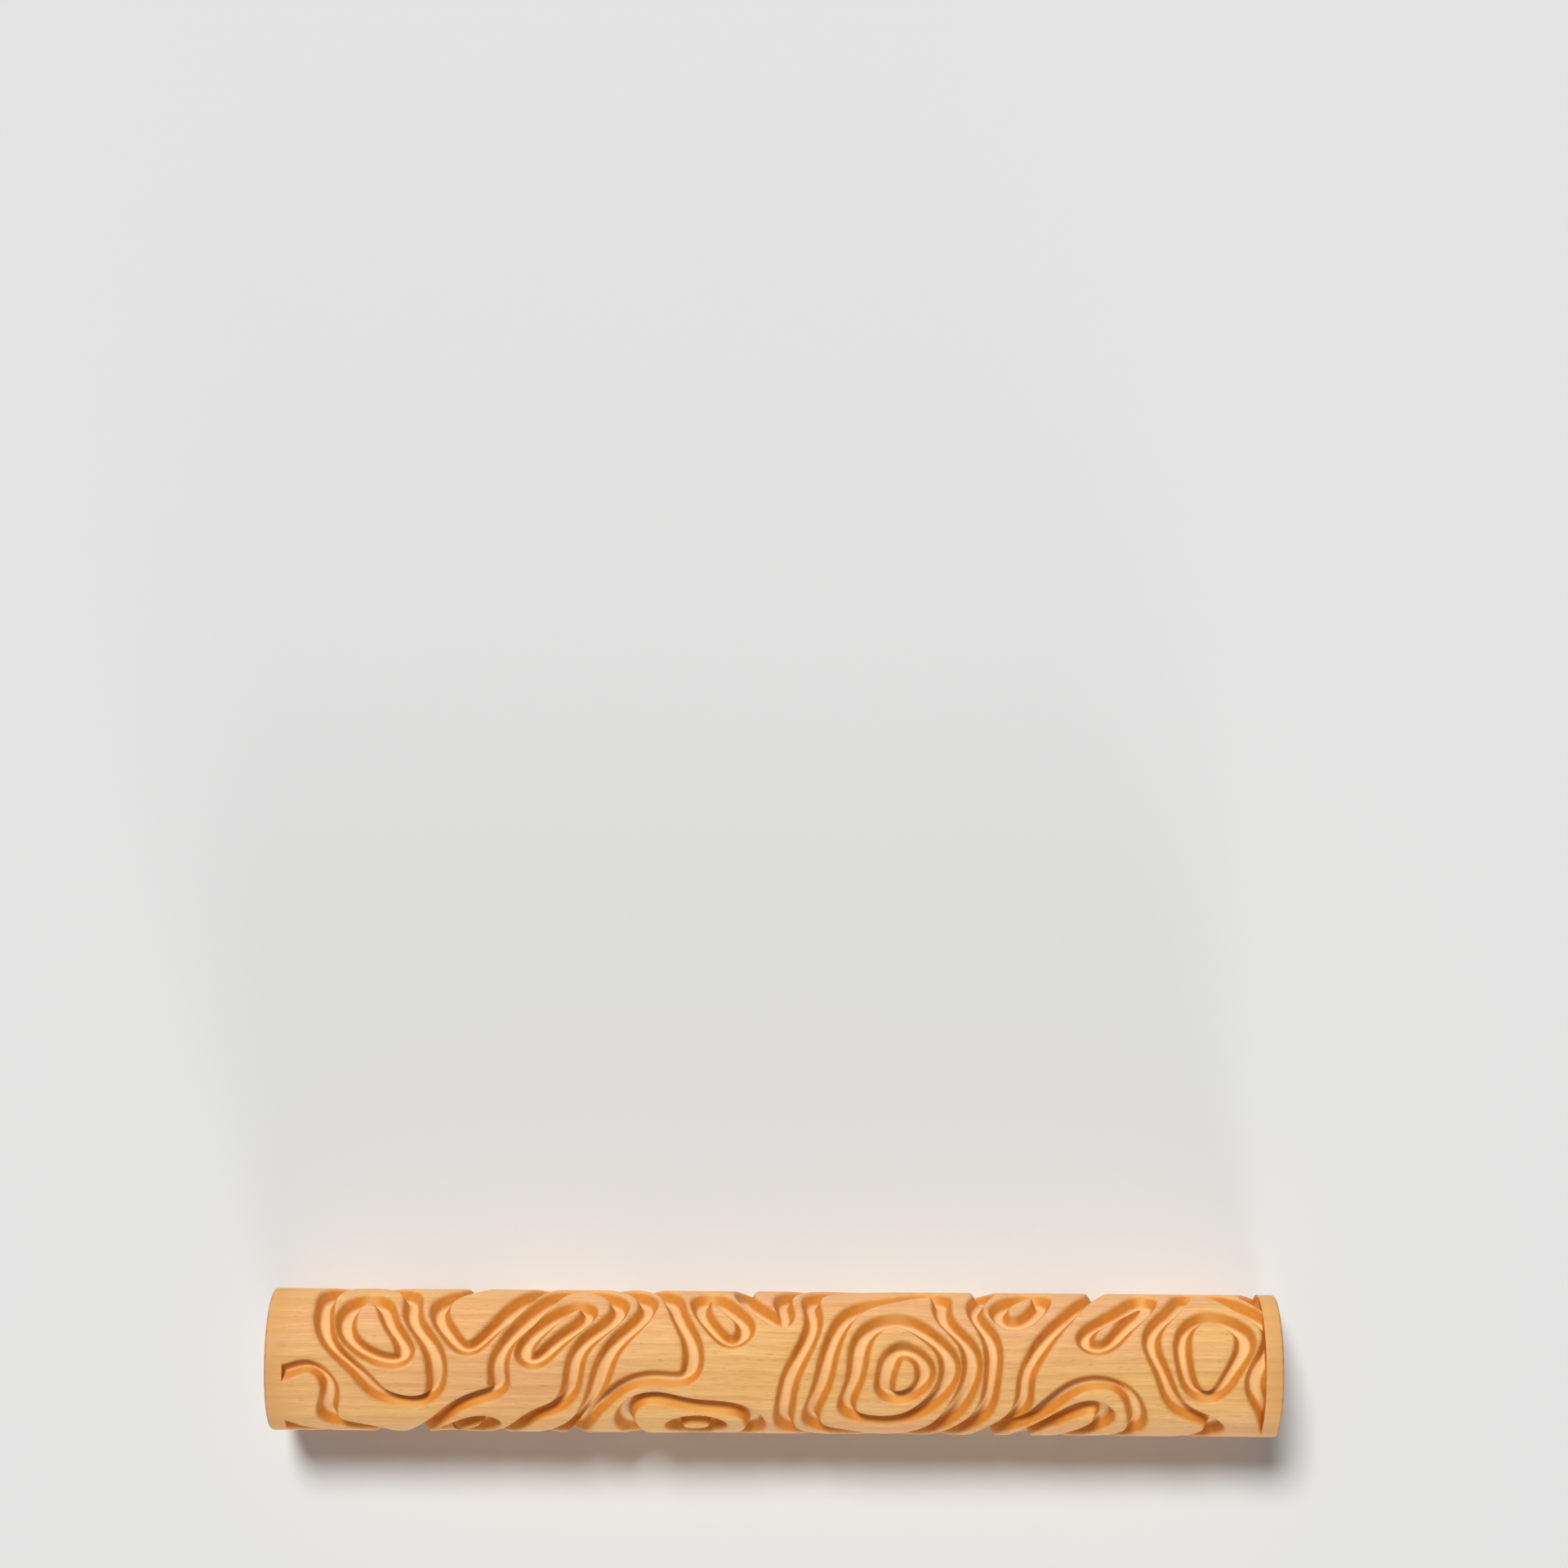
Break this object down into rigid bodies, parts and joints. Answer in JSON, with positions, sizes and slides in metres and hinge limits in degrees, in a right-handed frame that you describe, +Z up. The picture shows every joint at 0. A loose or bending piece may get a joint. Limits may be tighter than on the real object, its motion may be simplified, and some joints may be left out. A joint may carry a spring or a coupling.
{
  "type": "clay texture roller",
  "caption": "Solid turned wooden roller with contour-line grooves carved all round it, for rolling a raised texture into soft clay.",
  "frame": {"origin": "middle of the roller's length, on the surface that it lies on", "axes": "+X along the roller's axis, +Z up"},
  "size_m": [0.2, 0.028, 0.028],
  "materials": {
    "wood": "turned beech, satin"
  },
  "bodies": {
    "root": {"roller_body": "wood"}
  },
  "joints": []
}
